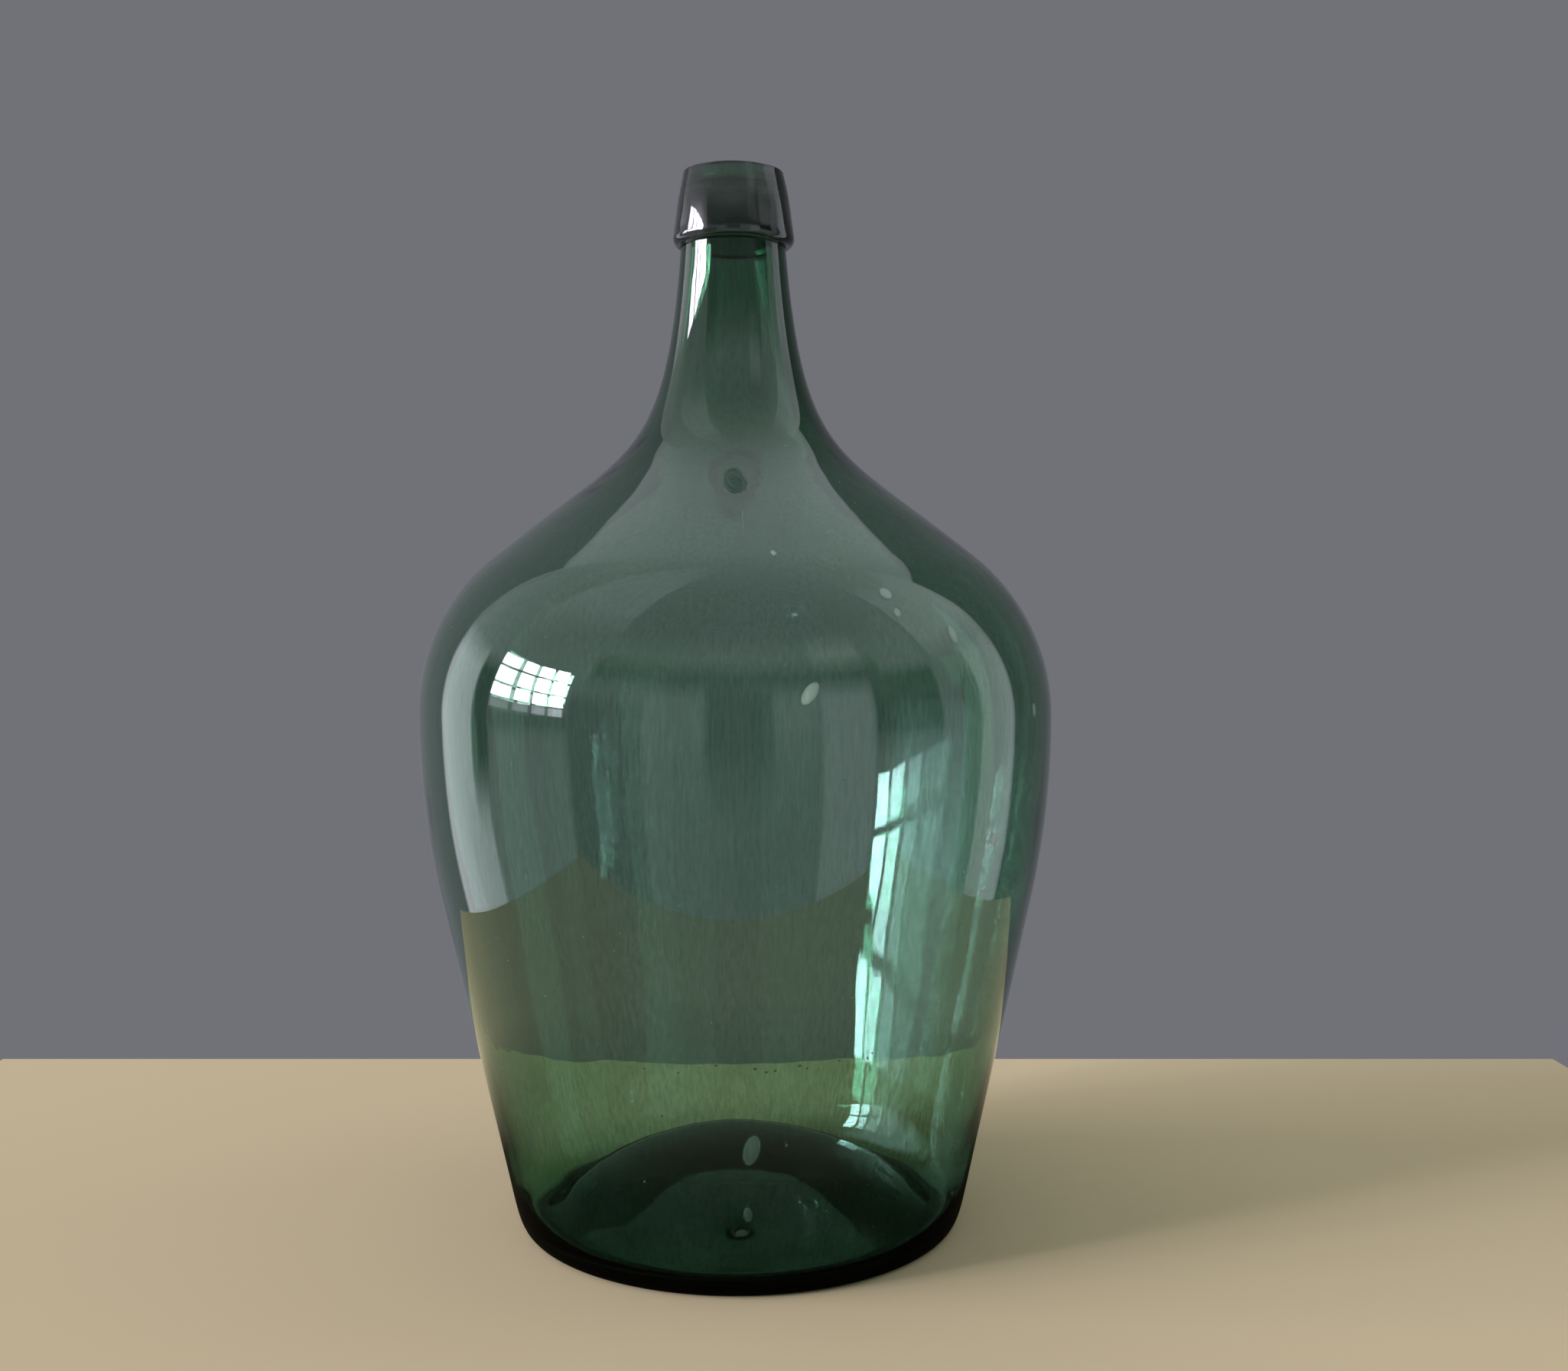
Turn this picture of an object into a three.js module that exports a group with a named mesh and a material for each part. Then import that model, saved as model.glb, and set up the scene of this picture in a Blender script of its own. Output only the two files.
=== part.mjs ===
// A 20-litre demijohn of free-blown bottle-green glass, standing on its pushed-up base.
// It has two pieces: the blown vessel, and the collar of glass that was laid over the cracked-off end of
// its neck and tooled to a taper. Both are turned bodies. Millimetres, +Z up; the origin is on the
// standing plane, on the axis.
import * as THREE from "three";

const degree = Math.PI / 180;
const quarterTurn = 90 * degree;

// Overall sizes
const totalHeight = 533;
const bodyRadius = 160; // at the widest
const widestHeight = 260;

// Body, below and above the widest ring
const bellyArcRadius = 427;
const wallSlope = 12.5 * degree; // of the straight lower wall, from the vertical
const shoulderArcRadius = 101;
const shoulderSlope = 50.4 * degree; // where the shoulder turns into the neck, from the vertical
const shoulderPull = 0.49; // how far each end of the neck's sweep holds its direction,
const neckPull = 0.6; // as a share of the sweep's chord

// Neck and mouth
const mouthRadius = 17.5;
const neckWall = 6.6; // at the neck's cracked-off end
const neckTaper = 4.9 * degree;

// Base: a flat ring to stand on, a round heel and a domed kick-up
const ringOuterRadius = 106;
const ringWidth = 8;
const heelHeight = 50;
const heelFloorPull = 0.16; // shares of the heel's chord
const heelWallPull = 0.83;
const kickHeight = 28;
const floorThickness = 13; // in the middle of the base
const floorEdgeRadius = 94; // where the floor turns down into the trough
const floorEdgeHeight = 9;
const troughFloorPull = 0.5; // shares of the trough's chord
const troughWallPull = 0.42;

// Wall of the body
const heelWall = 3.8;
const bodyWall = 3.4;

// Collar
const collarHeight = 38;
const lipCover = 8; // how far the collar stands above the neck's end
const lipWidth = 8; // from the mouth to the collar's outside, under the lip's rounding
const collarOverhang = 4; // how far its foot stands out from the neck
const collarFootBevel = 4.3;
const collarBulge = 0.6;
const lipRounding = 2.2;
const mouthRounding = 1.4;
const seatClearance = 0.3; // between the collar and the neck that carries it

// Steps along each curve, and around the axis
const aroundSteps = 56;
const heelSteps = 8;
const coneSteps = 2;
const bellySteps = 4;
const shoulderSteps = 8;
const neckSteps = 14;
const troughSteps = 8;
const domeSteps = 7;
const collarSideSteps = 5;
const roundingSteps = 4;

const point = (r, z) => new THREE.Vector2(r, z);
const heading = (r, z) => new THREE.Vector2(r, z).normalize();

// Heights, radii and directions that follow from the sizes above
const neckEndHeight = totalHeight - lipCover;
const collarFootHeight = totalHeight - collarHeight;
const ringInnerRadius = ringOuterRadius - ringWidth;
const neckRadiusAt = (z) => mouthRadius + neckWall + (neckEndHeight - z) * Math.tan(neckTaper);
const upTheWall = heading(Math.sin(wallSlope), Math.cos(wallSlope));

// A cubic curve between two points that holds a given heading at each end.
function sweep(start, startHeading, startPull, end, endHeading, endPull) {
  const chord = start.distanceTo(end);
  return new THREE.CubicBezierCurve(
    start,
    start.clone().addScaledVector(startHeading, startPull * chord),
    end.clone().addScaledVector(endHeading, -endPull * chord),
    end,
  );
}

// A circular arc about a centre, from one angle to another, both from the +r direction.
function arc(centreR, centreZ, radius, from, to) {
  return new THREE.EllipseCurve(centreR, centreZ, radius, radius, from, to, to < from);
}

// The outside of the vessel in stretches, from the standing ring up to the neck's end. From the cone
// upwards each has the wall thickness at its two ends; below it the inside has a shape of its own.
function outerStretches() {
  const belly = arc(bodyRadius - bellyArcRadius, widestHeight, bellyArcRadius, -wallSlope, 0);
  const bellyFoot = belly.getPoint(0);
  const coneDrop = bellyFoot.y - heelHeight;
  const coneFoot = point(bellyFoot.x - coneDrop * Math.tan(wallSlope), heelHeight);
  const heel = sweep(
    point(ringOuterRadius, 0),
    heading(1, 0),
    heelFloorPull,
    coneFoot,
    upTheWall,
    heelWallPull,
  );
  const shoulder = arc(
    bodyRadius - shoulderArcRadius,
    widestHeight,
    shoulderArcRadius,
    0,
    shoulderSlope,
  );
  const neckFoot = point(neckRadiusAt(collarFootHeight), collarFootHeight);
  const neck = sweep(
    shoulder.getPoint(1),
    heading(-Math.sin(shoulderSlope), Math.cos(shoulderSlope)),
    shoulderPull,
    neckFoot,
    heading(-Math.sin(neckTaper), Math.cos(neckTaper)),
    neckPull,
  );
  const neckTop = point(neckRadiusAt(neckEndHeight), neckEndHeight);
  return [
    { curve: heel, steps: heelSteps },
    { curve: new THREE.LineCurve(coneFoot, bellyFoot), steps: coneSteps, walls: [heelWall, heelWall] },
    { curve: belly, steps: bellySteps, walls: [heelWall, bodyWall] },
    { curve: shoulder, steps: shoulderSteps, walls: [bodyWall, bodyWall] },
    { curve: neck, steps: neckSteps, walls: [bodyWall, neckWall] },
    { curve: new THREE.LineCurve(neckFoot, neckTop), steps: 1, walls: [neckWall, neckWall] },
  ];
}

// The inner face of a stretch: each point of its outside, moved in along the normal by the wall there.
// The wall eases from one end's thickness to the other's.
function innerFace({ curve, steps, walls }) {
  return curve.getPoints(steps).map((outer, i) => {
    const t = i / steps;
    const along = curve.getTangent(t);
    const wall = THREE.MathUtils.lerp(walls[0], walls[1], THREE.MathUtils.smoothstep(t, 0, 1));
    return outer.addScaledVector(point(-along.y, along.x), wall);
  });
}

// The circle that a spherical dome lies on, from its apex and its rim.
function domeCircle(apexHeight, rimRadius, rimHeight) {
  const rise = apexHeight - rimHeight;
  const radius = (rimRadius ** 2 + rise ** 2) / (2 * rise);
  return { centre: apexHeight - radius, radius, rimAngle: Math.acos(rimRadius / radius) };
}

// The kick-up's underside and the floor above it are two spherical domes, farthest apart in the middle,
// where the glass is thickest. The trough carries the floor's edge round into the wall.
function kickUp(wallFoot) {
  const under = domeCircle(kickHeight, ringInnerRadius, 0);
  const upper = domeCircle(kickHeight + floorThickness, floorEdgeRadius, floorEdgeHeight);
  const underside = arc(0, under.centre, under.radius, quarterTurn, under.rimAngle);
  const floor = arc(0, upper.centre, upper.radius, upper.rimAngle, quarterTurn);
  const trough = sweep(
    wallFoot,
    upTheWall.clone().negate(),
    troughWallPull,
    floor.getPoint(0),
    heading(-Math.sin(upper.rimAngle), Math.cos(upper.rimAngle)),
    troughFloorPull,
  );
  return {
    underside: underside.getPoints(domeSteps),
    inside: [...trough.getPoints(troughSteps), ...floor.getPoints(domeSteps)],
  };
}

function vesselProfile() {
  const stretches = outerStretches();
  const outside = stretches.flatMap(({ curve, steps }) => curve.getPoints(steps));
  const inside = stretches.filter(({ walls }) => walls).flatMap(innerFace);
  inside[inside.length - 1] = point(mouthRadius, neckEndHeight); // the neck's end was cut off level
  const kick = kickUp(inside[0]);
  return [...kick.underside, ...outside, ...inside.reverse(), ...kick.inside];
}

function collarProfile() {
  const footRadius = neckRadiusAt(collarFootHeight);
  const lipRadius = mouthRadius + lipWidth;
  const seatHeight = neckEndHeight + seatClearance;
  const footOnNeck = point(footRadius + seatClearance, collarFootHeight);
  const sideFoot = point(footRadius + collarOverhang, collarFootHeight + collarFootBevel);
  const sideTop = point(lipRadius, totalHeight - lipRounding);
  const sideHold = sideFoot.clone().lerp(sideTop, 0.5);
  sideHold.x += 2 * collarBulge; // a quadratic curve passes half as far out as its control point
  const side = new THREE.QuadraticBezierCurve(sideFoot, sideHold, sideTop);
  const lipEdge = arc(lipRadius - lipRounding, sideTop.y, lipRounding, 0, quarterTurn);
  const mouthEdge = arc(
    mouthRadius + mouthRounding,
    totalHeight - mouthRounding,
    mouthRounding,
    quarterTurn,
    2 * quarterTurn,
  );
  return [
    footOnNeck,
    ...side.getPoints(collarSideSteps),
    ...lipEdge.getPoints(roundingSteps),
    ...mouthEdge.getPoints(roundingSteps),
    point(mouthRadius, seatHeight),
    point(neckRadiusAt(neckEndHeight) + seatClearance, seatHeight),
    footOnNeck.clone(),
  ];
}

// Turns a profile about the axis, after dropping the points that repeat where two stretches meet and
// putting an end that is meant for the axis exactly on it.
function turned(name, profile, material) {
  const sameSpot = 0.001;
  const points = profile
    .filter((p, i) => i === 0 || p.distanceTo(profile[i - 1]) > sameSpot)
    .map((p) => (Math.abs(p.x) < sameSpot ? point(0, p.y) : p));
  const geometry = new THREE.LatheGeometry(points, aroundSteps);
  geometry.rotateX(quarterTurn); // the lathe turns about Y, and the vessel stands along Z
  const mesh = new THREE.Mesh(geometry, material);
  mesh.name = name;
  return mesh;
}

// Clear green bottle glass. The collar looks deeper, because its wall is the thickest.
function bottleGlass(colour) {
  return new THREE.MeshStandardMaterial({
    color: colour,
    roughness: 0.04,
    metalness: 0,
    transparent: true,
    opacity: 0.55,
  });
}

const demijohn = new THREE.Group();
demijohn.add(turned("blown_vessel", vesselProfile(), bottleGlass(0x2f6b57)));
demijohn.add(turned("applied_collar", collarProfile(), bottleGlass(0x24584a)));

export default demijohn;
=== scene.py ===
import math
import random

import bmesh
import bpy
from mathutils import Matrix, Vector, noise
from mathutils.geometry import interpolate_bezier


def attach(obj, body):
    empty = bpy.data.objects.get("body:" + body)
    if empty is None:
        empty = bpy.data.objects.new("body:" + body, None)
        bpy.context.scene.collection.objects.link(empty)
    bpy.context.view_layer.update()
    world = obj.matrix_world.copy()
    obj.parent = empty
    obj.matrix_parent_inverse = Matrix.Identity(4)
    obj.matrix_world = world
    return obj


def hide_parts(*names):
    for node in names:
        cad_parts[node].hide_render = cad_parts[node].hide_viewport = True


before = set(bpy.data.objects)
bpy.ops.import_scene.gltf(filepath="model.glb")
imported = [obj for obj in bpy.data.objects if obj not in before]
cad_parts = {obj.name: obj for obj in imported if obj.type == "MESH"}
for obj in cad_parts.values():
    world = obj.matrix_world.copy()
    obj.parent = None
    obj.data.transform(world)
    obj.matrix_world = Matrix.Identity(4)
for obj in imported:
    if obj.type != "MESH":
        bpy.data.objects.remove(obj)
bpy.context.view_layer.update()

mm = 0.001
closeBy = 0.1  # mm, allows for the flat faces of a round wall


# helpers for curves, nodes and colours

def linearColour(hexCode):
    channels = [int(hexCode[i:i + 2], 16) / 255 for i in (1, 3, 5)]
    return [c / 12.92 if c <= 0.04045 else ((c + 0.055) / 1.055) ** 2.4 for c in channels] + [1]


def addNode(tree, kind, inputs=None, **settings):
    node = tree.nodes.new(kind)
    for name, value in settings.items():
        setattr(node, name, value)
    for name, value in (inputs or {}).items():
        if isinstance(value, bpy.types.NodeSocket):
            tree.links.new(value, node.inputs[name])
        else:
            node.inputs[name].default_value = value
    return node


def heading(r, z):
    return Vector((r, 0, z)).normalized()


def sweepPoints(start, startHeading, startPull, end, endHeading, endPull, steps):
    # curve that leaves its start and reaches its end in these headings, each pulled by a share of the chord
    chord = (end - start).length
    startHandle = start + startHeading * startPull * chord
    endHandle = end - endHeading * endPull * chord
    return [Vector(p) for p in interpolate_bezier(start, startHandle, endHandle, end, steps + 1)]


def arcPoints(centre, radius, fromAngle, toAngle, steps):
    angles = [fromAngle + (toAngle - fromAngle) * i / steps for i in range(steps + 1)]
    return [centre + Vector((math.cos(a), 0, math.sin(a))) * radius for a in angles]


def smoothStep(low, high, value):
    t = min(1, max(0, (value - low) / (high - low)))
    return t * t * (3 - 2 * t)


def streaks(p, across, along, seed):
    # noise drawn out up the wall
    return noise.noise(Vector((p.x / across + seed, p.y / across, p.z / along)))


# camera, at the photograph's angle

camera = {
    "lens": 37.4,
    "sensor": 36.0,
    "place": (24.3, -836.5, 311.4),  # mm, from the middle of the standing plane
    "downwards": 2.6,                # degrees
}

cameraData = bpy.data.cameras.new("camera")
cameraData.lens = camera["lens"]
cameraData.sensor_width = camera["sensor"]
cameraData.clip_start = 0.01
cameraObject = bpy.data.objects.new("camera", cameraData)
cameraObject.location = Vector(camera["place"]) * mm
cameraObject.rotation_euler = (math.radians(90 - camera["downwards"]), 0, 0)
bpy.context.scene.collection.objects.link(cameraObject)
bpy.context.scene.camera = cameraObject
print("camera placed")


# blown vessel: body, shoulder, neck and kick-up in one wall of glass

vessel = {
    "bodyRadius": 160,
    "widestHeight": 260,
    "bellyArcRadius": 427,
    "wallSlope": 12.5,
    "shoulderArcRadius": 101,
    "shoulderSlope": 50.4,
    "shoulderPull": 0.49,
    "neckPull": 0.6,
    "mouthRadius": 17.5,
    "neckWall": 6.6,
    "neckTaper": 4.9,
    "neckEndHeight": 525,
    "collarFootHeight": 495,
    "ringOuterRadius": 106,
    "ringInnerRadius": 98,
    "ringRounding": 3,
    "ringPull": 0.4,
    "heelHeight": 50,
    "heelFloorPull": 0.16,
    "heelWallPull": 0.83,
    "kickHeight": 28,
    "floorThickness": 13,      # in the middle of the base
    "floorEdge": (94, 9),      # where the floor turns down into the trough
    "troughFloorPull": 0.5,
    "troughWallPull": 0.42,
    "heelWall": 3.8,
    "bodyWall": 3.4,
    "stepsAround": 184,
    "steps": {                 # along each stretch of the outline
        "cone": 20, "belly": 18, "shoulder": 26, "heel": 26, "neck": 46, "neckEnd": 10,
        "underside": 26, "ringEdge": 6, "trough": 20, "floor": 26,
    },
    "lean": -0.0062,           # the real neck stands a little to the left
    "fusedFrom": 3,            # how far above the collar's foot the two gathers are one
    "scuffHeight": 1.2,        # the ring's underside, dulled by standing
    "toolMarksFrom": 480,      # the bore, dulled by the tool
    "mattShare": 0.5,          # of the glass's matt roughness
    "outerSwell": 0.12,        # how far the outside wanders, and over what length
    "outerSwellLength": 48,
    "outerCord": 0.03,
    "innerSwell": 0.15,        # the inside was never touched by a tool, so it wanders more
    "innerSwellLength": 36,
    "innerCord": 0.05,
    "cordWidth": 9,
    "cordLength": 95,
    "calmAtCollar": (472, 492),  # both sides are calm from the collar up and at the axis
    "calmAtAxis": (0, 30),
    "calmAtRing": (2, 26),     # and the outside where it stands
}


def neckRadiusAt(z):
    taper = math.tan(math.radians(vessel["neckTaper"]))
    return vessel["mouthRadius"] + vessel["neckWall"] + (vessel["neckEndHeight"] - z) * taper


def outerCurve():
    v = vessel
    steps = v["steps"]
    slope = math.radians(v["wallSlope"])
    turn = math.radians(v["shoulderSlope"])
    taper = math.radians(v["neckTaper"])
    upTheWall = heading(math.sin(slope), math.cos(slope))
    bellyCentre = Vector((v["bodyRadius"] - v["bellyArcRadius"], 0, v["widestHeight"]))
    shoulderCentre = Vector((v["bodyRadius"] - v["shoulderArcRadius"], 0, v["widestHeight"]))
    belly = arcPoints(bellyCentre, v["bellyArcRadius"], -slope, 0, steps["belly"])
    shoulder = arcPoints(shoulderCentre, v["shoulderArcRadius"], 0, turn, steps["shoulder"])
    coneFootRadius = belly[0].x - (belly[0].z - v["heelHeight"]) * math.tan(slope)
    coneFoot = Vector((coneFootRadius, 0, v["heelHeight"]))
    cone = [coneFoot.lerp(belly[0], i / steps["cone"]) for i in range(steps["cone"] + 1)]
    heel = sweepPoints(Vector((v["ringOuterRadius"], 0, 0)), heading(1, 0), v["heelFloorPull"],
                       coneFoot, upTheWall, v["heelWallPull"], steps["heel"])
    neckFoot = Vector((neckRadiusAt(v["collarFootHeight"]), 0, v["collarFootHeight"]))
    neckTop = Vector((neckRadiusAt(v["neckEndHeight"]), 0, v["neckEndHeight"]))
    neck = sweepPoints(shoulder[-1], heading(-math.sin(turn), math.cos(turn)), v["shoulderPull"],
                       neckFoot, heading(-math.sin(taper), math.cos(taper)), v["neckPull"], steps["neck"])
    neckEnd = [neckFoot.lerp(neckTop, i / steps["neckEnd"]) for i in range(steps["neckEnd"] + 1)]
    stretches = [
        (cone, v["heelWall"], v["heelWall"]),
        (belly, v["heelWall"], v["bodyWall"]),
        (shoulder, v["bodyWall"], v["bodyWall"]),
        (neck, v["bodyWall"], v["neckWall"]),
        (neckEnd, v["neckWall"], v["neckWall"]),
    ]
    wall = []                  # from the cone up, each point with the wall's thickness there
    for points, startWall, endWall in stretches:
        for i, p in enumerate(points):
            share = smoothStep(0, 1, i / (len(points) - 1))
            if not wall or (p - wall[-1][0]).length > closeBy / 2:
                wall.append((p, startWall + (endWall - startWall) * share))
    return heel, wall


def innerFace(wall):
    # the wall's thickness, set off square to the outside
    inner = []
    for i, (p, thickness) in enumerate(wall):
        before = wall[max(0, i - 1)][0]
        after = wall[min(len(wall) - 1, i + 1)][0]
        along = (after - before).normalized()
        inner.append(p + Vector((-along.z, 0, along.x)) * thickness)
    return inner


def vesselProfile():
    v = vessel
    steps = v["steps"]
    heel, wall = outerCurve()
    outside = heel[:-1] + [p for p, _ in wall]
    inside = innerFace(wall)
    inside[-1] = Vector((v["mouthRadius"], 0, v["neckEndHeight"]))
    slope = math.radians(v["wallSlope"])
    domeRadius = (v["ringInnerRadius"] ** 2 + v["kickHeight"] ** 2) / (2 * v["kickHeight"])
    domeCentre = Vector((0, 0, v["kickHeight"] - domeRadius))
    rounding = v["ringRounding"]
    roundingAngle = math.acos(v["ringInnerRadius"] / domeRadius) + rounding / domeRadius
    underside = arcPoints(domeCentre, domeRadius, math.pi / 2, roundingAngle, steps["underside"])
    downhill = heading(math.sin(roundingAngle), -math.cos(roundingAngle))
    ringStart = Vector((v["ringInnerRadius"] + rounding, 0, 0))
    ringEdge = sweepPoints(underside[-1], downhill, v["ringPull"],
                           ringStart, heading(1, 0), v["ringPull"], steps["ringEdge"])
    edgeRadius, edgeHeight = v["floorEdge"]
    floorRise = v["kickHeight"] + v["floorThickness"] - edgeHeight
    floorRadius = (edgeRadius ** 2 + floorRise ** 2) / (2 * floorRise)
    floorCentre = Vector((0, 0, edgeHeight + floorRise - floorRadius))
    troughAngle = math.acos(edgeRadius / floorRadius)
    floor = arcPoints(floorCentre, floorRadius, troughAngle, math.pi / 2, steps["floor"])
    trough = sweepPoints(inside[0], heading(-math.sin(slope), -math.cos(slope)), v["troughWallPull"],
                         floor[0], heading(-math.sin(troughAngle), math.cos(troughAngle)),
                         v["troughFloorPull"], steps["trough"])
    return underside + ringEdge[1:] + outside, inside[::-1] + trough[1:] + floor[1:]


def spinProfile(bm, outside, inside, stepsAround, closed=False):
    # turns an outline round the axis, with a layer that tells its inner side from its outer one
    innerLayer = bm.verts.layers.int.new("inner")
    bm.faces.layers.float.new("fused")
    bm.faces.layers.float.new("matt")
    verts = []
    for side, points in enumerate((outside, inside)):
        for p in points:
            if verts and (p * mm - verts[-1].co).length < 0.01 * mm:
                continue
            verts.append(bm.verts.new((p.x * mm if p.x > 0.01 else 0, 0, p.z * mm)))
            verts[-1][innerLayer] = side
    edges = [bm.edges.new(pair) for pair in zip(verts, verts[1:])]
    if closed:
        edges.append(bm.edges.new((verts[-1], verts[0])))
    bmesh.ops.spin(bm, geom=verts + edges, cent=(0, 0, 0), axis=(0, 0, 1), dvec=(0, 0, 0),
                   angle=2 * math.pi, steps=stepsAround, use_merge=True, use_duplicate=False)
    bmesh.ops.remove_doubles(bm, verts=bm.verts, dist=0.002 * mm)
    bmesh.ops.dissolve_degenerate(bm, dist=0.001 * mm, edges=bm.edges)
    bmesh.ops.recalc_face_normals(bm, faces=bm.faces)
    bm.normal_update()
    return innerLayer


def leanOver(p):
    p.x += vessel["lean"] * (p.z - vessel["widestHeight"] * mm)


def markFaces(bm, isFused, isMatt):
    # for the glass's shader: where the gathers are one, and where it is matt
    fused = bm.faces.layers.float["fused"]
    matt = bm.faces.layers.float["matt"]
    for face in bm.faces:
        middle = face.calc_center_median() / mm
        radius = math.hypot(middle.x, middle.y)
        face[fused] = isFused(radius, middle.z)
        face[matt] = isMatt(radius, middle.z)


def finishPiece(bm, name, material, node):
    for face in bm.faces:
        face.smooth = True
    mesh = bpy.data.meshes.new(name)
    bm.to_mesh(mesh)
    bm.free()
    piece = bpy.data.objects.new(name, mesh)
    bpy.context.scene.collection.objects.link(piece)
    mesh.materials.append(material)
    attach(piece, "root")
    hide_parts(node)
    print(name, "made:", len(mesh.polygons), "faces")
    return piece


# green bottle glass, free blown: its skin came straight from the fire, so it mirrors the room sharply, is
# wavy from the blowing, and goes a darker green the thicker it stands

bottleGlass = {
    "ior": 1.52,
    "absorbedColour": "#66B991",  # green, from iron in the sand
    "absorption": 235,            # per metre: 5 mm let 36, 55 and 43 % of red, green and blue through
    "cleanTint": "#FBFFFD",
    "filmTint": "#E6F0EA",
    "filmSize": 34,
    "filmPatches": (0.5, 0.78),   # where in its noise the film begins, and where it is full
    "clearRoughness": 0.0,
    "filmRoughness": 0.015,
    "mattRoughness": 0.7,
    "rippleSize": 16,
    "rippleHeight": 0.01,
    "cordSize": 9,
    "cordHeight": 0.018,
    "cordDetail": 0.0,
    "drawnOut": 10,               # how many times longer than wide cords and streaks are
    "streakSize": 1.6,            # fine streaks drawn up the wall, in how clear the glass is
    "streakTint": "#D2E4DA",
    "streakContrast": (0.4, 0.7),
    "dulledSkin": 0.0,            # no tool touched it
    "dulledRoughness": 0.4,
}


def makeGlass(name, values):
    material = bpy.data.materials.new(name)
    material.use_nodes = True
    tree = material.node_tree
    tree.nodes.clear()
    place = addNode(tree, "ShaderNodeTexCoord").outputs["Object"]
    drawnOut = addNode(tree, "ShaderNodeMapping", {
        "Vector": place,
        "Scale": (1.0, 1.0, 1 / values["drawnOut"]),
    })

    # a thin dried film in patches, only just seen
    film = addNode(tree, "ShaderNodeTexNoise", {
        "Vector": place,
        "Scale": 1 / (values["filmSize"] * mm),
        "Detail": 4.0,
        "Roughness": 0.55,
    })
    filmAmount = addNode(tree, "ShaderNodeMapRange", {
        "Value": film.outputs["Fac"],
        "From Min": values["filmPatches"][0],
        "From Max": values["filmPatches"][1],
    })

    # and fine streaks in how clear it is
    streak = addNode(tree, "ShaderNodeTexNoise", {
        "Vector": drawnOut.outputs["Vector"],
        "Scale": 1 / (values["streakSize"] * mm),
        "Detail": 3.0,
        "Roughness": 0.7,
    })
    streakAmount = addNode(tree, "ShaderNodeMapRange", {
        "Value": streak.outputs["Fac"],
        "From Min": values["streakContrast"][0],
        "From Max": values["streakContrast"][1],
    })
    streaked = addNode(tree, "ShaderNodeMix", {
        0: streakAmount.outputs["Result"],
        6: linearColour(values["cleanTint"]),
        7: linearColour(values["streakTint"]),
    }, data_type="RGBA")
    tint = addNode(tree, "ShaderNodeMix", {
        0: filmAmount.outputs["Result"],
        6: streaked.outputs[2],
        7: linearColour(values["filmTint"]),
    }, data_type="RGBA")
    roughness = addNode(tree, "ShaderNodeMapRange", {
        "Value": filmAmount.outputs["Result"],
        "To Min": values["clearRoughness"],
        "To Max": values["filmRoughness"],
    })

    # matt places: the scuffed ring that it stands on, the tooled bore, and the skin inside a bubble
    matt = addNode(tree, "ShaderNodeAttribute", attribute_name="matt")
    dull = addNode(tree, "ShaderNodeMath", {
        0: matt.outputs["Fac"],
        1: values["mattRoughness"],
    }, operation="MULTIPLY")
    surface = addNode(tree, "ShaderNodeMath", {
        0: roughness.outputs["Result"],
        1: dull.outputs["Value"],
    }, operation="MAXIMUM")

    # slow ripples, and cords drawn out up the wall
    ripple = addNode(tree, "ShaderNodeTexNoise", {
        "Vector": place,
        "Scale": 1 / (values["rippleSize"] * mm),
        "Detail": 0.0,
    })
    cord = addNode(tree, "ShaderNodeTexNoise", {
        "Vector": drawnOut.outputs["Vector"],
        "Scale": 1 / (values["cordSize"] * mm),
        "Detail": values["cordDetail"],
    })
    rippleBump = addNode(tree, "ShaderNodeBump", {
        "Height": ripple.outputs["Fac"],
        "Distance": values["rippleHeight"] * mm,
    })
    cordBump = addNode(tree, "ShaderNodeBump", {
        "Height": cord.outputs["Fac"],
        "Distance": values["cordHeight"] * mm,
        "Normal": rippleBump.outputs["Normal"],
    })

    # where the two gathers melted together there is no surface left
    fused = addNode(tree, "ShaderNodeAttribute", attribute_name="fused")
    present = addNode(tree, "ShaderNodeMath", {0: 1.0, 1: fused.outputs["Fac"]}, operation="SUBTRACT")

    shader = addNode(tree, "ShaderNodeBsdfPrincipled", {
        "Base Color": tint.outputs[2],
        "Roughness": surface.outputs["Value"],
        "IOR": values["ior"],
        "Alpha": present.outputs["Value"],
        "Coat Weight": values["dulledSkin"],
        "Coat Roughness": values["dulledRoughness"],
        "Transmission Weight": 1.0,
        "Normal": cordBump.outputs["Normal"],
    })
    inside = addNode(tree, "ShaderNodeVolumeAbsorption", {
        "Color": linearColour(values["absorbedColour"]),
        "Density": values["absorption"],
    })
    addNode(tree, "ShaderNodeOutputMaterial", {
        "Surface": shader.outputs["BSDF"],
        "Volume": inside.outputs["Volume"],
    })
    return material


# blisters, seeds and an air line: closed bubbles inside the wall

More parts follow.
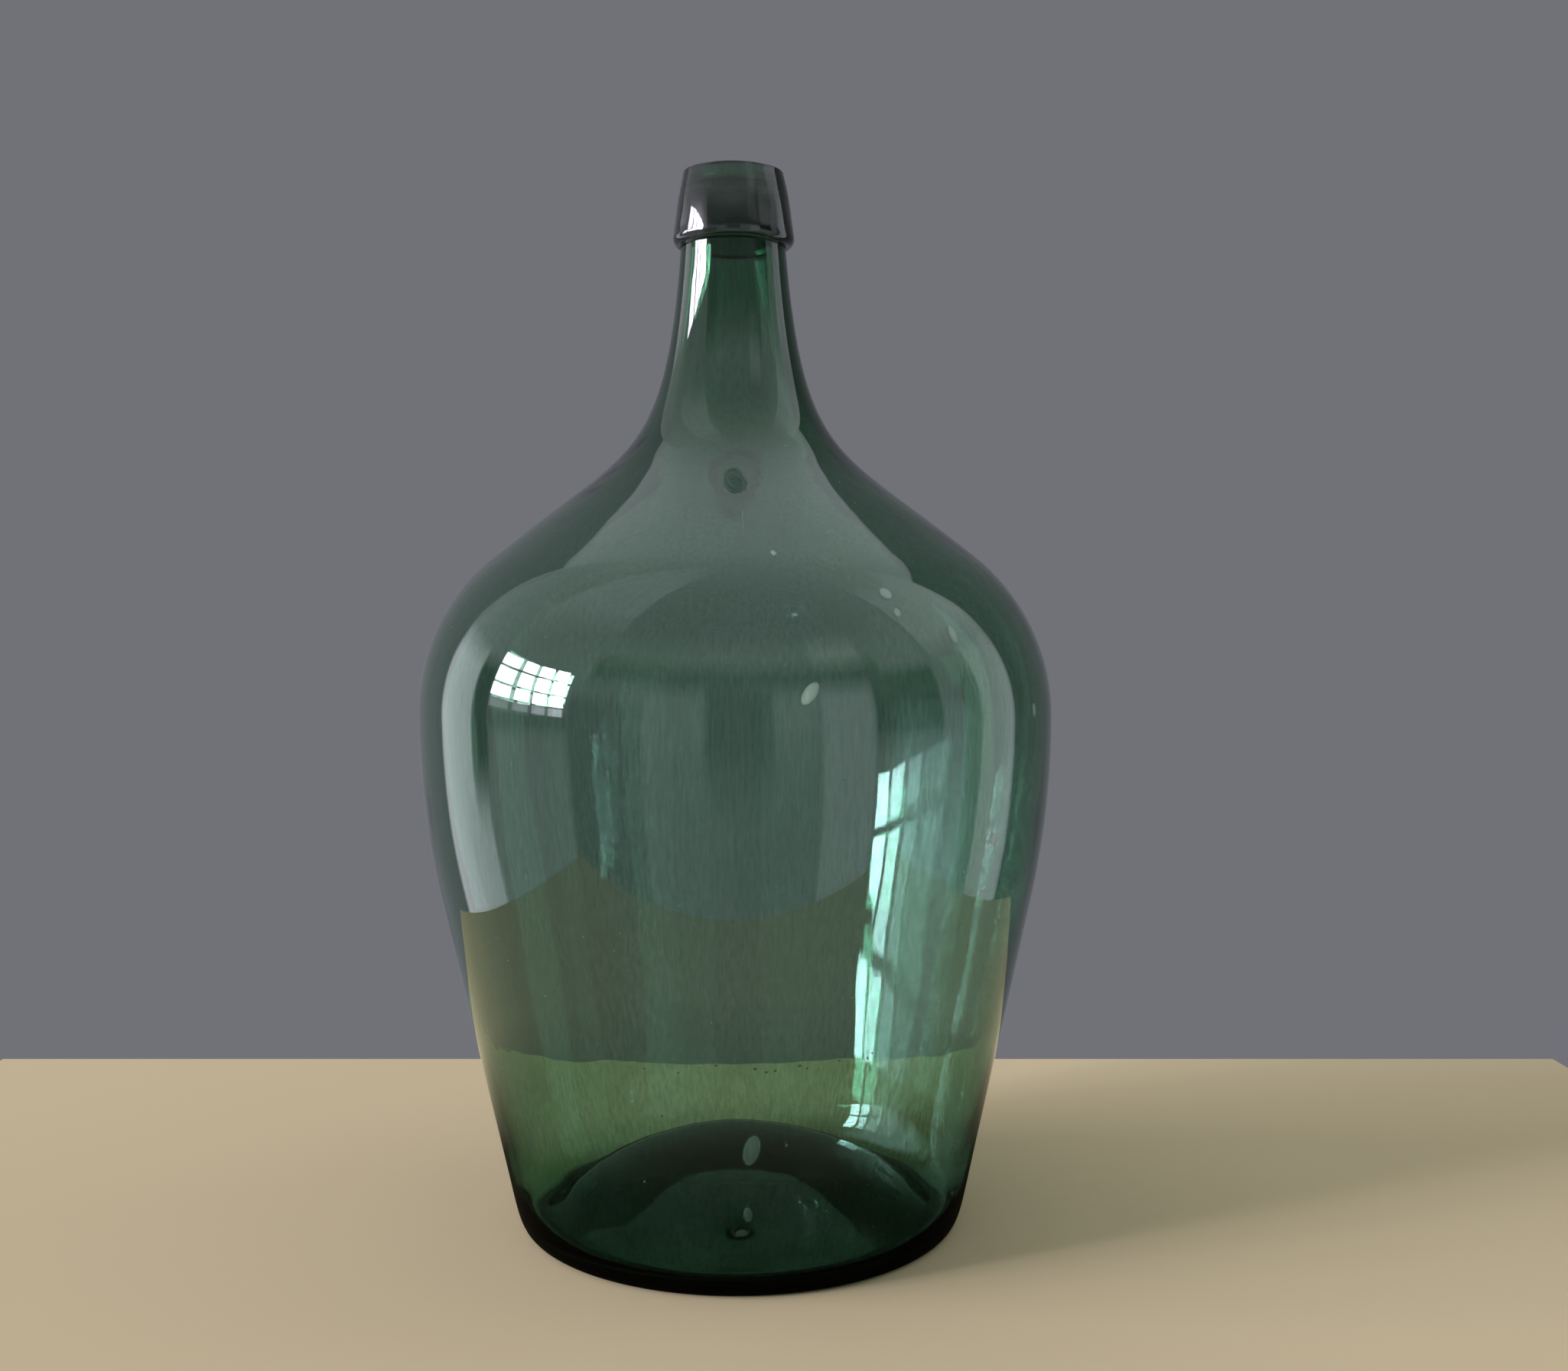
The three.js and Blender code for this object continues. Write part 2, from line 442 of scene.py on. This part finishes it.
bubbles = {
    "paleFrom": 200,           # blisters above this have a matt, pale skin
    "coneTop": 168,            # the wall is thicker below it
    # azimuth from the front and height of each blister's middle, width, height along the wall,
    # thickness, and how far it is turned
    "blisters": [
        (29.8, 319.9, 5.6, 6.2, 1.4, 40),
        (41.5, 301.7, 4.6, 8.6, 1.6, 5),
        (13.0, 277.2, 5.8, 11.6, 1.9, -38),
        (30.7, 311.5, 3.6, 4.4, 1.2, 0),
        (9.5, 337.6, 2.6, 3.6, 1.1, 15),
        (4.0, 73.4, 7.8, 15.5, 2.6, -12),
        (3.3, 42.0, 4.5, 8.0, 2.2, 5),
        (62.9, 265.2, 4.2, 6.6, 1.4, 10),
        (49.6, 208.2, 4.4, 6.0, 1.5, 0),
    ],
    "blisterColour": "#DDE5DA",
    "blisterRoughness": 0.6,
    "airLine": (3.6, 352.5, 0.6, 21, 0.5, 0),
    "airLineDepth": 0.4,       # in wall thicknesses
    "seeds": 130,
    "seedDraw": 20,            # another number scatters them another way
    "seedSizes": (0.5, 1.5),
    "seedHeights": (55, 400),
    "seedDepth": 1.7,
    "seedFlatness": 0.8,
    "seedRow": 15,
    "seedRowSizes": (0.5, 1.2),
    "seedRowHeight": 112,
    "seedRowLeft": -20,        # azimuth of its left end, and how many degrees it spans
    "seedRowSpan": 42,
    "seedRowDepth": 2.4,
}


def wallPoint(profile, azimuth, z, depth):
    # point this deep in the wall, with the directions round it, up it and out of it
    for low, high in zip(profile, profile[1:]):
        if low.z <= z <= high.z:
            t = (z - low.z) / (high.z - low.z)
            radius = low.x + (high.x - low.x) * t
            along = (high - low).normalized()
            break
    a = math.radians(azimuth)
    outwards = Vector((math.sin(a), -math.cos(a), 0))
    around = Vector((math.cos(a), math.sin(a), 0))
    upwards = outwards * along.x + Vector((0, 0, along.z))
    normal = around.cross(upwards)
    return (outwards * radius + Vector((0, 0, z)) - normal * depth) * mm, around, upwards, normal


def addBubble(bm, profile, azimuth, z, width, length, thickness, turned, depth, fine):
    middle, around, upwards, normal = wallPoint(profile, azimuth, z, depth)
    axes = Matrix((around, upwards, normal)).transposed().to_4x4()
    size = Matrix.Diagonal((width / 2 * mm, length / 2 * mm, thickness / 2 * mm, 1))
    matrix = Matrix.Translation(middle) @ axes @ Matrix.Rotation(math.radians(turned), 4, "Z") @ size
    bmesh.ops.create_icosphere(bm, subdivisions=3 if fine else 2, radius=1, matrix=matrix)


def makeBubbles(outside):
    v = vessel
    b = bubbles
    wall = [p for p in outside if p.z > v["kickHeight"] + 2]
    bm = bmesh.new()
    fromTheTop = sorted(b["blisters"], key=lambda blister: -blister[1])
    for azimuth, z, width, length, thickness, turned in fromTheTop:
        depth = (v["heelWall"] if z < b["coneTop"] else v["bodyWall"]) / 2
        addBubble(bm, wall, azimuth, z, width, length, thickness, turned, depth, True)
        if z > b["paleFrom"]:
            paleFaces = len(bm.faces)
    azimuth, z, width, length, thickness, turned = b["airLine"]
    depth = v["bodyWall"] * b["airLineDepth"]
    addBubble(bm, wall, azimuth, z, width, length, thickness, turned, depth, True)
    chance = random.Random(b["seedDraw"])
    for i in range(b["seeds"]):
        size = chance.uniform(*b["seedSizes"]) * chance.uniform(0.5, 1)
        azimuth = chance.uniform(-180, 180)
        z = chance.uniform(*b["seedHeights"])
        length = size * chance.uniform(1, 2)
        turned = chance.uniform(-20, 20)
        thickness = size * b["seedFlatness"]
        addBubble(bm, wall, azimuth, z, size, length, thickness, turned, b["seedDepth"], False)
    for i in range(b["seedRow"]):
        size = chance.uniform(*b["seedRowSizes"])
        azimuth = b["seedRowLeft"] + b["seedRowSpan"] * (i + chance.uniform(0, 0.8)) / b["seedRow"]
        z = b["seedRowHeight"] + chance.uniform(-2, 2)
        thickness = size * b["seedFlatness"]
        addBubble(bm, wall, azimuth, z, size * 1.3, size, thickness, 0, b["seedRowDepth"], False)
    bmesh.ops.reverse_faces(bm, faces=bm.faces)
    mesh = bpy.data.meshes.new("bubbles")
    bm.to_mesh(mesh)
    bm.free()
    return mesh, paleFaces


def makeVessel(material, blisterMaterial):
    v = vessel
    outside, inside = vesselProfile()
    bm = bmesh.new()
    innerLayer = spinProfile(bm, outside, inside, v["stepsAround"])
    bore = v["mouthRadius"] + 2 * closeBy

    def isMatt(radius, z):
        scuffed = z < v["scuffHeight"] and radius > v["ringInnerRadius"]
        tooled = z > v["toolMarksFrom"] and radius < bore
        return v["mattShare"] * (scuffed or tooled)

    fusedHeight = v["collarFootHeight"] + v["fusedFrom"]
    markFaces(bm, lambda radius, z: z > fusedHeight and radius > bore, isMatt)
    for vert in bm.verts:
        p = vert.co / mm
        radius = math.hypot(p.x, p.y)
        fade = 1 - smoothStep(*v["calmAtCollar"], p.z)
        if vert[innerLayer]:
            swell = v["innerSwell"] * noise.noise(p / v["innerSwellLength"] + Vector((7, 0, 0)))
            cord = v["innerCord"] * streaks(p, v["cordWidth"], v["cordLength"], 3)
        else:
            fade *= smoothStep(*v["calmAtRing"], p.z)
            swell = v["outerSwell"] * (noise.noise(p / v["outerSwellLength"]) - 1)
            cord = v["outerCord"] * streaks(p, v["cordWidth"], v["cordLength"], 11)
        fade *= smoothStep(*v["calmAtAxis"], radius)
        vert.co += vert.normal * (swell + cord) * fade * mm
    wallFaces = len(bm.faces)
    bubbleMesh, paleFaces = makeBubbles(outside)
    bm.from_mesh(bubbleMesh)
    bm.faces.ensure_lookup_table()
    matt = bm.faces.layers.float["matt"]
    for i, face in enumerate(bm.faces[wallFaces:]):
        face[matt] = 1
        face.material_index = 1 if i < paleFaces else 0
    bpy.data.meshes.remove(bubbleMesh)
    for vert in bm.verts:
        leanOver(vert.co)
    piece = finishPiece(bm, "vesselGlass", material, "blown_vessel")
    piece.data.materials.append(blisterMaterial)


def makeBlisterSkin():
    # glass round a flat bubble, blown and never polished: matt inside, so it stands out as a milky disc
    material = bpy.data.materials.new("mattBlisterSkin")
    material.use_nodes = True
    tree = material.node_tree
    tree.nodes.clear()
    shader = addNode(tree, "ShaderNodeBsdfPrincipled", {
        "Base Color": linearColour(bubbles["blisterColour"]),
        "Roughness": bubbles["blisterRoughness"],
    })
    addNode(tree, "ShaderNodeOutputMaterial", {"Surface": shader.outputs["BSDF"]})
    return material


makeVessel(makeGlass("blownBottleGlass", bottleGlass), makeBlisterSkin())


# applied collar: a second gather laid round the neck's end and tooled to a taper

collar = {
    "height": 38,
    "totalHeight": 533,
    "lipWidth": 8,
    "overhang": 4,
    "footEdge": (0.55, 0.2),  # where its bevel begins, as a share of the overhang, and how high
    "footPull": 0.35,
    "footBevel": 4.3,
    "bevelPull": 0.4,
    "bulge": 0.6,
    "lipRounding": 0.8,
    "mouthRounding": 1.2,
    "overlap": 0.05,       # sunk this far into the neck, as the two are fused
    "stepsAround": 160,
    "steps": {"under": 6, "side": 20, "lip": 8, "mouth": 6, "seat": 10},
    "footWander": 0.8,     # how unevenly its foot was laid, how often it wanders, and how far up
    "footWaves": 1.4,
    "footReach": (1, 12),
    "footLift": 1.0,
    "sideWander": 0.35,
    "sideWanderLength": 16,
    "rightSwell": 0.5,     # its side stands out more at the right
    "flareAzimuth": -62,   # a small flare of the foot, at the lower left
    "flare": 1.3,
    "flareWidth": 26,      # degrees to each side
    "flareReach": (1, 7),
}


def collarProfile():
    c = collar
    steps = c["steps"]
    foot = c["totalHeight"] - c["height"]
    footRadius = neckRadiusAt(foot)
    lipRadius = vessel["mouthRadius"] + c["lipWidth"]
    seatHeight = vessel["neckEndHeight"] - c["overlap"]
    footOnNeck = Vector((footRadius - c["overlap"], 0, foot))
    edgeShare, edgeHeight = c["footEdge"]
    footEdge = Vector((footRadius + c["overhang"] * edgeShare, 0, foot + edgeHeight))
    sideFoot = Vector((footRadius + c["overhang"], 0, foot + c["footBevel"]))
    sideTop = Vector((lipRadius, 0, c["totalHeight"] - c["lipRounding"]))
    under = sweepPoints(footEdge, heading(1, 0.5), c["footPull"],
                        sideFoot, heading(-0.05, 1), c["bevelPull"], steps["under"])
    hold = sideFoot.lerp(sideTop, 0.5) + Vector((c["bulge"] * 2, 0, 0))
    twoThirds = 2 / 3
    side = [Vector(p) for p in interpolate_bezier(sideFoot, sideFoot.lerp(hold, twoThirds),
                                                  sideTop.lerp(hold, twoThirds), sideTop, steps["side"])]
    lipCentre = Vector((lipRadius - c["lipRounding"], 0, sideTop.z))
    lip = arcPoints(lipCentre, c["lipRounding"], 0, math.pi / 2, steps["lip"])
    rounding = c["mouthRounding"]
    mouthCentre = Vector((vessel["mouthRadius"] + rounding, 0, c["totalHeight"] - rounding))
    mouth = arcPoints(mouthCentre, rounding, math.pi / 2, math.pi, steps["mouth"])
    bore = Vector((vessel["mouthRadius"], 0, seatHeight))
    seat = Vector((neckRadiusAt(vessel["neckEndHeight"]) - c["overlap"], 0, seatHeight))
    across = [seat.lerp(footOnNeck, i / steps["seat"]) for i in range(steps["seat"])]
    return [footOnNeck] + under + side + lip + mouth + [bore] + across


def makeCollar(material):
    c = collar
    bm = bmesh.new()
    spinProfile(bm, collarProfile(), [], c["stepsAround"], closed=True)
    foot = c["totalHeight"] - c["height"]
    fusedHeight = foot + vessel["fusedFrom"]
    markFaces(bm, lambda radius, z: fusedHeight < z < vessel["neckEndHeight"] and radius < neckRadiusAt(z),
              lambda radius, z: vessel["mattShare"] * (radius < vessel["mouthRadius"] + closeBy))
    for vert in bm.verts:
        p = vert.co / mm
        radius = math.hypot(p.x, p.y)
        outward = Vector((p.x, p.y, 0)).normalized()
        if radius < neckRadiusAt(p.z) + closeBy:
            continue
        azimuth = math.degrees(math.atan2(p.x, -p.y))
        nearFoot = 1 - smoothStep(*c["footReach"], p.z - foot)
        uneven = noise.noise(outward * c["footWaves"] + Vector((5, 2, 0)))
        away = abs((azimuth - c["flareAzimuth"] + 180) % 360 - 180)
        flare = c["flare"] * (1 - smoothStep(0, c["flareWidth"], away))
        flare *= 1 - smoothStep(*c["flareReach"], p.z - foot)
        vert.co.z += (c["footWander"] * uneven + c["footLift"]) * nearFoot * mm
        side = c["sideWander"] * (noise.noise(p / c["sideWanderLength"]) - 0.6)
        side += c["rightSwell"] * max(0, outward.x)
        vert.co += outward * (side + flare) * smoothStep(0, 3, radius - neckRadiusAt(p.z)) * mm
    for vert in bm.verts:
        leanOver(vert.co)
    finishPiece(bm, "collarGlass", material, "applied_collar")


# the same glass, laid on hot and tooled: it ripples more closely, and the tool left its skin a little dull
tooledGlass = dict(
    bottleGlass,
    absorption=360,
    rippleSize=5,
    rippleHeight=0.02,
    cordSize=5,
    cordHeight=0.02,
    cordDetail=4.0,
    clearRoughness=0.03,
    filmRoughness=0.06,
    filmSize=12,
    dulledSkin=0.15,
    dulledRoughness=0.25,
)
makeCollar(makeGlass("tooledBottleGlass", tooledGlass))


# floor and the studio around it

studio = {
    "floorColour": "#B6A886",
    "floorMirroredPaintedShade": (0.05, 1.25),  # share of the floor's brightness in the glass, close by and far off: painted shade close by, standing in for the bottle's contact shadow, and painted extra light far off
    "floorPaintedShadeReach": (170, 330),
    "floorCorners": (-520, -440, 560, 286),
    "floorHeight": -0.1,
    "backdrop": "#717278",
    "roomColour": "#E9ECF4",
    "roomStrength": 0.9,       # all round, up to the ceiling's edge
    "ceilingEdge": (28, 52),
    "ceilingNear": 0.7,        # over the camera
    "ceilingFar": 1.2,         # over the backdrop
    "ceilingTurn": (-0.6, 0.3),  # between the two, where -1 is straight at the camera and 1 at the backdrop
    # soft panels: left and right azimuth from the backdrop's middle, bottom and top elevation, strength,
    # softness of their ends
    "panels": [
        (-130, -86, 46, 80, 1.4, 8),
        (-86, -56, 18, 60, 0.95, 6),
        (-77, -56, -40, 19, 2.6, 4),
        (-84, -70, -40, -12, 2.35, 4),
        (-86, -77, -10, 18, 0.12, 3),
        (63, 102, -40, 60, 0.75, 5),
        (63, 100, 28, 60, 1.5, 6),
        (64, 84, -40, 26, 1.5, 4),
        (84, 92, -40, 18, 0.3, 4),
        (102, 130, -5, 24, 0.08, 3),
        (130, 149, -40, 40, 1.4, 6),
        (-122, -86, -4, 3, 0.45, 2),
        (-128, -90, -40, -7, 1.0, 3),
        (-180, -149, -40, -5, 0.8, 5),
        (-149, -122, -40, 12, 0.45, 5),
        (149, 180, -40, -5, 0.7, 5),
        (166, 200, -12, 20, 0.3, 6),    # the slit that the camera looks through, on both sides of 180
        (-200, -171, -12, 20, 0.3, 6),
        (124, 200, 18, 30, 0.25, 5),    # its lintel, which the neck mirrors
        (-200, -128, 18, 30, 0.25, 5),
    ],
    "panelSides": 0.8,         # softness of their left and right edges
    "backdropWidth": (-55, 63),
    "backdropTop": 48,
    "backdropEdge": 0.4,
    "backdropMirrored": (1.7, 0.55),  # its brightness in the glass, at its left and right end
    "windowColour": "#F4ECFF",
    # its columns of panes: azimuth of each one's left and right side, and its strength as the near side
    # and as the inside of the far wall mirror it
    "windowColumns": [(-119.8, -114.4, 110, 110), (-112.9, -106.9, 70, 70), (-105.0, -98.3, 40, 15),
                      (-96.3, -86, 25, 5)],
    "windowRows": [(17.5, 21.5, 1), (11.2, 16.6, 1), (5.9, 10.3, 1), (1.7, 5.1, 0.05)],
    "windowSlope": 0.055,      # its rows climb by this much per degree towards the backdrop
    "paneEdge": 0.2,
    "farColour": "#E8D6FF",    # the same window as the inside of the far wall mirrors it
    "farRows": [(5.9, 10.3, 1), (11.2, 24, 1)],
    "farSlope": -0.2,
    "farGlow": (-112, -70, 1, 40, 9, 6),  # soft glow beside its panes
}


def between(tree, value, low, high, soft, amount=1.0):
    # the amount from low to high, and none beyond them
    up = addNode(tree, "ShaderNodeMapRange", {
        "Value": value, "From Min": low - soft, "From Max": low + soft, "To Max": amount,
    })
    down = addNode(tree, "ShaderNodeMapRange", {
        "Value": value, "From Min": high + soft, "From Max": high - soft, "To Max": up.outputs["Result"],
    })
    return down.outputs["Result"]


def seenDirectly(tree):
    # 1 for the camera's own rays and those that only passed through glass, 0 for all others
    path = addNode(tree, "ShaderNodeLightPath").outputs
    turned = addNode(tree, "ShaderNodeMath", {
        0: path["Glossy Depth"], 1: path["Diffuse Depth"],
    }, operation="ADD")
    straight = addNode(tree, "ShaderNodeMath", {0: turned.outputs[0], 1: 0.5}, operation="LESS_THAN")
    through = addNode(tree, "ShaderNodeMath", {
        0: path["Is Transmission Ray"], 1: straight.outputs[0],
    }, operation="MULTIPLY")
    return addNode(tree, "ShaderNodeMath", {
        0: path["Is Camera Ray"], 1: through.outputs[0],
    }, operation="MAXIMUM").outputs[0]


def cameBackFromInside(tree):
    # 1 for rays that a far wall of the glass sent back out through the near one
    path = addNode(tree, "ShaderNodeLightPath").outputs
    crossed = addNode(tree, "ShaderNodeMath", {
        0: path["Transmission Depth"], 1: 2.5,
    }, operation="GREATER_THAN")
    turned = addNode(tree, "ShaderNodeMath", {
        0: path["Glossy Depth"], 1: 0.5,
    }, operation="GREATER_THAN")
    return addNode(tree, "ShaderNodeMath", {
        0: crossed.outputs[0], 1: turned.outputs[0],
    }, operation="MULTIPLY").outputs[0]


def roomLight(tree, azimuth, elevation, depth):
    # soft tent, lighter overhead towards the backdrop, with its panels
    s = studio
    ceiling = addNode(tree, "ShaderNodeMapRange", {
        "Value": depth, "From Min": s["ceilingTurn"][0], "From Max": s["ceilingTurn"][1],
        "To Min": s["ceilingNear"], "To Max": s["ceilingFar"],
    }, interpolation_type="SMOOTHSTEP").outputs["Result"]
    light = addNode(tree, "ShaderNodeMapRange", {
        "Value": elevation, "From Min": s["ceilingEdge"][0], "From Max": s["ceilingEdge"][1],
        "To Min": s["roomStrength"], "To Max": ceiling,
    }, interpolation_type="SMOOTHSTEP").outputs["Result"]
    for left, right, bottom, top, strength, softness in s["panels"]:
        tall = between(tree, elevation, bottom, top, softness)
        mask = between(tree, azimuth, left, right, s["panelSides"], tall)
        light = addNode(tree, "ShaderNodeMix", {0: mask, 2: light, 3: strength}).outputs[0]
    return light


def windowLight(tree, azimuth, elevation, fromInside):
    # paned window on the left, taller for light that came back from inside the vessel
    s = studio
    aside = addNode(tree, "ShaderNodeMath", {0: azimuth, 1: s["windowColumns"][0][0]}, operation="SUBTRACT")
    rows = []
    for spans, slope in ((s["windowRows"], s["windowSlope"]), (s["farRows"], s["farSlope"])):
        level = addNode(tree, "ShaderNodeMath", {
            0: aside.outputs[0], 1: -slope, 2: elevation,
        }, operation="MULTIPLY_ADD").outputs[0]
        total = 0.0
        for bottom, top, share in spans:
            row = between(tree, level, bottom, top, s["paneEdge"], share)
            total = addNode(tree, "ShaderNodeMath", {0: total, 1: row}, operation="ADD").outputs[0]
        rows.append(total)
    lit = addNode(tree, "ShaderNodeMix", {0: fromInside, 2: rows[0], 3: rows[1]}).outputs[0]
    left, right, bottom, top, strength, softness = s["farGlow"]
    far = addNode(tree, "ShaderNodeMath", {0: fromInside, 1: strength}, operation="MULTIPLY").outputs[0]
    tall = between(tree, elevation, bottom, top, softness, far)
    panes = between(tree, azimuth, left, right, softness, tall)
    for left, right, near, far in s["windowColumns"]:
        strength = addNode(tree, "ShaderNodeMix", {0: fromInside, 2: near, 3: far}).outputs[0]
        bright = addNode(tree, "ShaderNodeMath", {0: lit, 1: strength}, operation="MULTIPLY").outputs[0]
        pane = between(tree, azimuth, left, right, s["paneEdge"], bright)
        panes = addNode(tree, "ShaderNodeMath", {0: panes, 1: pane}, operation="ADD").outputs[0]
    return panes


def roomColour(tree, azimuth, elevation, depth):
    # all that lights and is mirrored: tent, window, and the backdrop in front of them
    s = studio
    lit = addNode(tree, "ShaderNodeVectorMath", {
        0: linearColour(s["roomColour"])[:3],
        "Scale": roomLight(tree, azimuth, elevation, depth),
    }, operation="SCALE").outputs["Vector"]
    fromInside = cameBackFromInside(tree)
    tint = addNode(tree, "ShaderNodeMix", {
        0: fromInside, 6: linearColour(s["windowColour"]), 7: linearColour(s["farColour"]),
    }, data_type="RGBA").outputs[2]
    panes = addNode(tree, "ShaderNodeVectorMath", {
        0: tint,
        "Scale": windowLight(tree, azimuth, elevation, fromInside),
    }, operation="SCALE").outputs["Vector"]
    lit = addNode(tree, "ShaderNodeVectorMath", {0: panes, 1: lit}, operation="ADD").outputs["Vector"]
    share = addNode(tree, "ShaderNodeMapRange", {
        "Value": azimuth, "From Min": s["backdropWidth"][0], "From Max": s["backdropWidth"][1],
        "To Min": s["backdropMirrored"][0], "To Max": s["backdropMirrored"][1],
    }).outputs["Result"]
    wall = addNode(tree, "ShaderNodeVectorMath", {
        0: linearColour(s["backdrop"])[:3],
        "Scale": share,
    }, operation="SCALE").outputs["Vector"]
    tall = between(tree, elevation, -90, s["backdropTop"], s["backdropEdge"])
    behind = between(tree, azimuth, *s["backdropWidth"], s["backdropEdge"], tall)
    return addNode(tree, "ShaderNodeMix", {0: behind, 6: lit, 7: wall}, data_type="RGBA").outputs[2]


def makeFloor():
    # board under matt, pale paint, which gives no glare of its own
    s = studio
    left, front, right, back = [value * mm for value in s["floorCorners"]]
    bm = bmesh.new()
    corners = ((left, front), (right, front), (right, back), (left, back))
    bm.faces.new([bm.verts.new((x, y, s["floorHeight"] * mm)) for x, y in corners])
    mesh = bpy.data.meshes.new("floor")
    bm.to_mesh(mesh)
    bm.free()
    floor = bpy.data.objects.new("floor", mesh)
    bpy.context.scene.collection.objects.link(floor)
    material = bpy.data.materials.new("mattPaintedBoard")
    material.use_nodes = True
    tree = material.node_tree
    tree.nodes.clear()
    colour = linearColour(s["floorColour"])
    place = addNode(tree, "ShaderNodeTexCoord").outputs["Object"]
    distance = addNode(tree, "ShaderNodeVectorMath", {0: place}, operation="LENGTH").outputs["Value"]
    # painted shade: where the glass mirrors the floor, its colour is darkened close to the bottle, standing
    # in for its contact shadow, and lightened far off
    near, far = [reach * mm for reach in s["floorPaintedShadeReach"]]
    share = addNode(tree, "ShaderNodeMapRange", {
        "Value": distance, "From Min": near, "From Max": far,
        "To Min": s["floorMirroredPaintedShade"][0], "To Max": s["floorMirroredPaintedShade"][1],
    }).outputs["Result"]
    mirroredWithPaintedShade = addNode(tree, "ShaderNodeVectorMath", {0: colour[:3], "Scale": share}, operation="SCALE")
    seen = addNode(tree, "ShaderNodeMix", {
        0: seenDirectly(tree), 6: mirroredWithPaintedShade.outputs["Vector"], 7: colour,
    }, data_type="RGBA").outputs[2]
    paint = addNode(tree, "ShaderNodeBsdfPrincipled", {
        "Base Color": seen,
        "Roughness": 1.0,
        "Specular IOR Level": 0.0,
    })
    addNode(tree, "ShaderNodeOutputMaterial", {"Surface": paint.outputs["BSDF"]})
    mesh.materials.append(material)


def makeWorld():
    # the room, with the plain backdrop wherever it is looked at directly or through the glass
    s = studio
    world = bpy.data.worlds.new("studio")
    bpy.context.scene.world = world
    world.use_nodes = True
    tree = world.node_tree
    tree.nodes.clear()
    direction = addNode(tree, "ShaderNodeTexCoord").outputs["Generated"]
    parts = addNode(tree, "ShaderNodeSeparateXYZ", {"Vector": direction}).outputs
    around = addNode(tree, "ShaderNodeMath", {0: parts["X"], 1: parts["Y"]}, operation="ARCTAN2")
    azimuth = addNode(tree, "ShaderNodeMath", {0: around.outputs[0]}, operation="DEGREES").outputs[0]
    above = addNode(tree, "ShaderNodeMath", {0: parts["Z"]}, operation="ARCSINE")
    elevation = addNode(tree, "ShaderNodeMath", {0: above.outputs[0]}, operation="DEGREES").outputs[0]
    room = roomColour(tree, azimuth, elevation, parts["Y"])
    seen = addNode(tree, "ShaderNodeMix", {
        0: seenDirectly(tree), 6: room, 7: linearColour(s["backdrop"]),
    }, data_type="RGBA").outputs[2]
    background = addNode(tree, "ShaderNodeBackground", {"Color": seen, "Strength": 1.0})
    addNode(tree, "ShaderNodeOutputWorld", {"Surface": background.outputs["Background"]})


makeFloor()
makeWorld()
print("floor and studio made")

scene = bpy.context.scene
scene.view_settings.view_transform = "Standard"
scene.cycles.max_bounces = 40             # light crosses the walls of glass many times
scene.cycles.transmission_bounces = 36
scene.cycles.glossy_bounces = 12
scene.cycles.sample_clamp_indirect = 60   # keeps the mirrored window white

bpy.context.view_layer.update()
